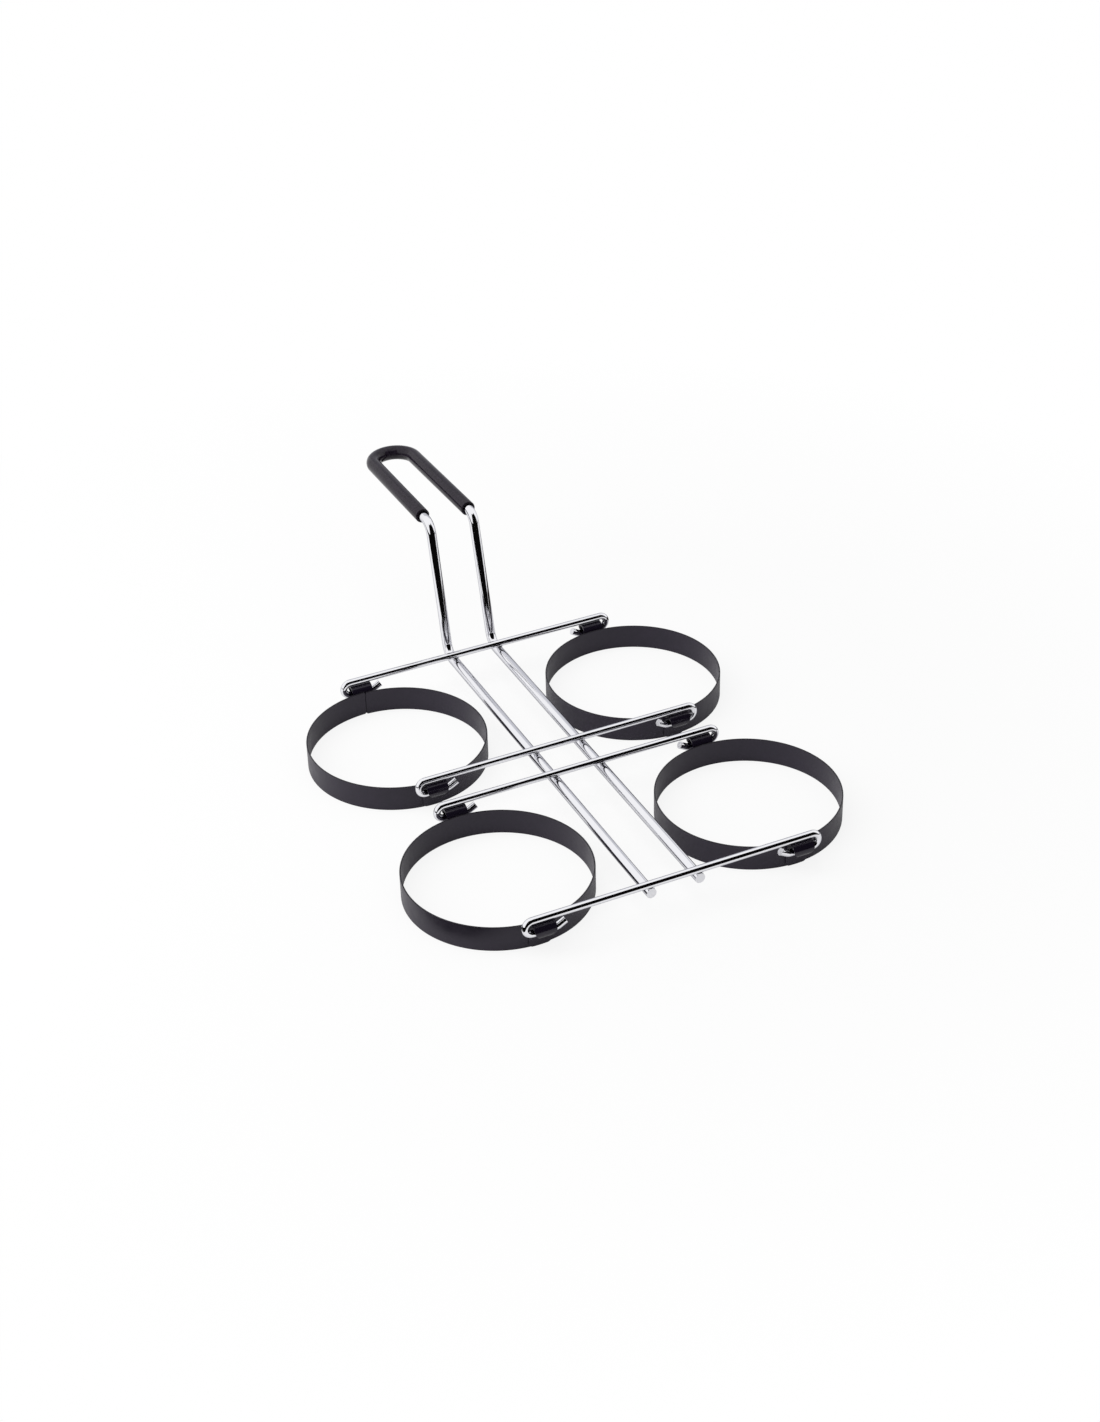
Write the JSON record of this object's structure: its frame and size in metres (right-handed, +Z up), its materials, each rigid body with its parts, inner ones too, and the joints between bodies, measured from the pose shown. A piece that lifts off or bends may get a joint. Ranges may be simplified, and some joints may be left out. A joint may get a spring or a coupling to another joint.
{
  "type": "egg ring set",
  "caption": "Round non-stick egg rings hung from a chromed wire frame by curled ears on hooked cross wires, with a raised loop handle in a soft sleeve.",
  "frame": {"origin": "on the surface that the rings stand on, at the middle of the whole set's outline seen from above", "axes": "+Z up, +Y from the free ends of the rails towards the handle, +X to the right seen from the free ends"},
  "size_m": [0.2214, 0.3418, 0.0863],
  "materials": {
    "chromed_wire": "bright nickel-chrome plate on drawn steel wire",
    "coated_steel": "satin charcoal non-stick coating on steel strip",
    "vinyl_sleeve": "black dip-soft vinyl sleeve, satin with a fine grain"
  },
  "bodies": {
    "frame": {"handle_frame": "chromed_wire", "handle_grip": "vinyl_sleeve", "rear_cross_wire": "chromed_wire", "mid_rear_cross_wire": "chromed_wire", "mid_front_cross_wire": "chromed_wire", "front_cross_wire": "chromed_wire"},
    "ring_rear_left": {"band_rear_left": "coated_steel", "handle_side_ear_rear_left": "coated_steel", "tip_side_ear_rear_left": "coated_steel"},
    "ring_rear_right": {"band_rear_right": "coated_steel", "handle_side_ear_rear_right": "coated_steel", "tip_side_ear_rear_right": "coated_steel"},
    "ring_front_left": {"band_front_left": "coated_steel", "handle_side_ear_front_left": "coated_steel", "tip_side_ear_front_left": "coated_steel"},
    "ring_front_right": {"band_front_right": "coated_steel", "handle_side_ear_front_right": "coated_steel", "tip_side_ear_front_right": "coated_steel"}
  },
  "joints": [
    {"name": "rear_left_ring_slide", "type": "slide", "parent": "frame", "child": "ring_rear_left", "axis": [-1, 0, 0], "range_m": [-0.003, 0.0012]},
    {"name": "rear_right_ring_slide", "type": "slide", "parent": "frame", "child": "ring_rear_right", "axis": [1, 0, 0], "range_m": [-0.003, 0.0012]},
    {"name": "front_left_ring_slide", "type": "slide", "parent": "frame", "child": "ring_front_left", "axis": [-1, 0, 0], "range_m": [-0.003, 0.0012]},
    {"name": "front_right_ring_slide", "type": "slide", "parent": "frame", "child": "ring_front_right", "axis": [1, 0, 0], "range_m": [-0.003, 0.0012]}
  ]
}
